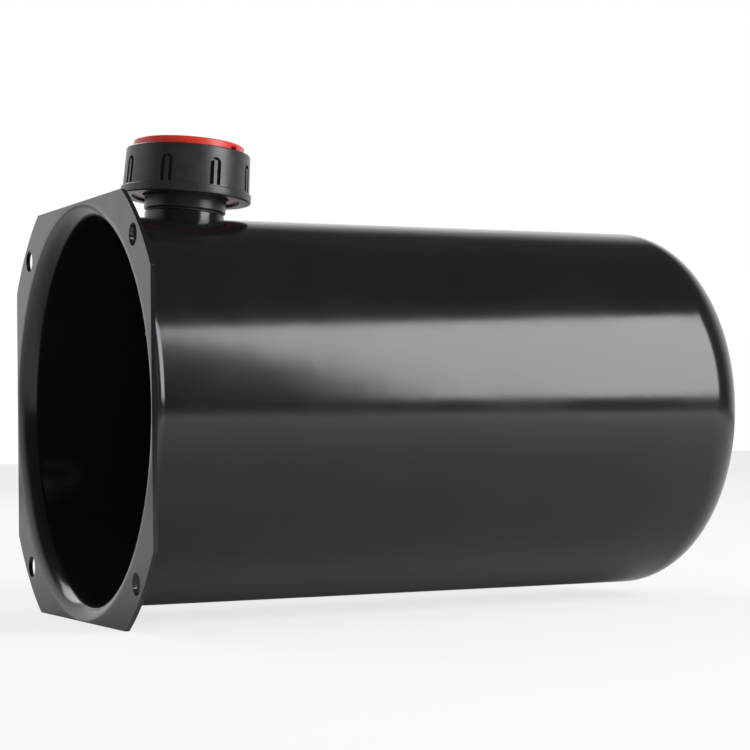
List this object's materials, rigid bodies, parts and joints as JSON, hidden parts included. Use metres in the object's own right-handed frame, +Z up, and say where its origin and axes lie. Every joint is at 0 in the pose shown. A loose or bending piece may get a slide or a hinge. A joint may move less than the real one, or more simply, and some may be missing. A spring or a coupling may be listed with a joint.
{
  "type": "pump reservoir",
  "caption": "Horizontal drawn-steel pump reservoir with a square bolt-on mouth flange, a dished closed end and a screw-on filler breather with an inner strainer.",
  "frame": {"origin": "centre of the flange's front face, on the tank's axis", "axes": "+X along the tank towards its closed end, +Z up towards the filler, +Y completes a right-handed frame"},
  "size_m": [0.323, 0.19, 0.2213],
  "materials": {
    "tank_paint": "gloss black coat over drawn steel",
    "black_nylon": "satin moulded nylon",
    "red_plastic": "satin moulded plastic",
    "natural_nylon": "plain moulded nylon",
    "wire_mesh": "fine woven wire",
    "seal_rubber": "smooth",
    "filter_foam": "open-cell foam"
  },
  "bodies": {
    "tank": {"tank_shell": "tank_paint", "filler_boss": "tank_paint", "boss_weld": "tank_paint", "filler_neck": "black_nylon", "neck_gasket": "seal_rubber", "strainer_cage": "natural_nylon", "strainer_sleeve": "wire_mesh", "strainer_floor": "wire_mesh"},
    "seal": {"cap_seal": "seal_rubber"},
    "cap": {"cap_core": "red_plastic", "cap_grip_ring": "black_nylon", "breather_retainer": "black_nylon", "breather_foam": "filter_foam"}
  },
  "joints": [
    {"name": "cap_rise", "type": "slide", "parent": "tank", "child": "seal", "axis": [0.0837, 0, 0.9965], "range_m": [0, 0.018]},
    {"name": "cap_turn", "type": "hinge", "parent": "seal", "child": "cap", "pos_m": [0.052, 0, 0.089], "axis": [0.0837, 0, 0.9965], "range_deg": [0, 1620]}
  ],
  "couplings": [
    {"joint": "cap_rise", "follows": "cap_turn", "m_per_rad": 0.00063662}
  ]
}
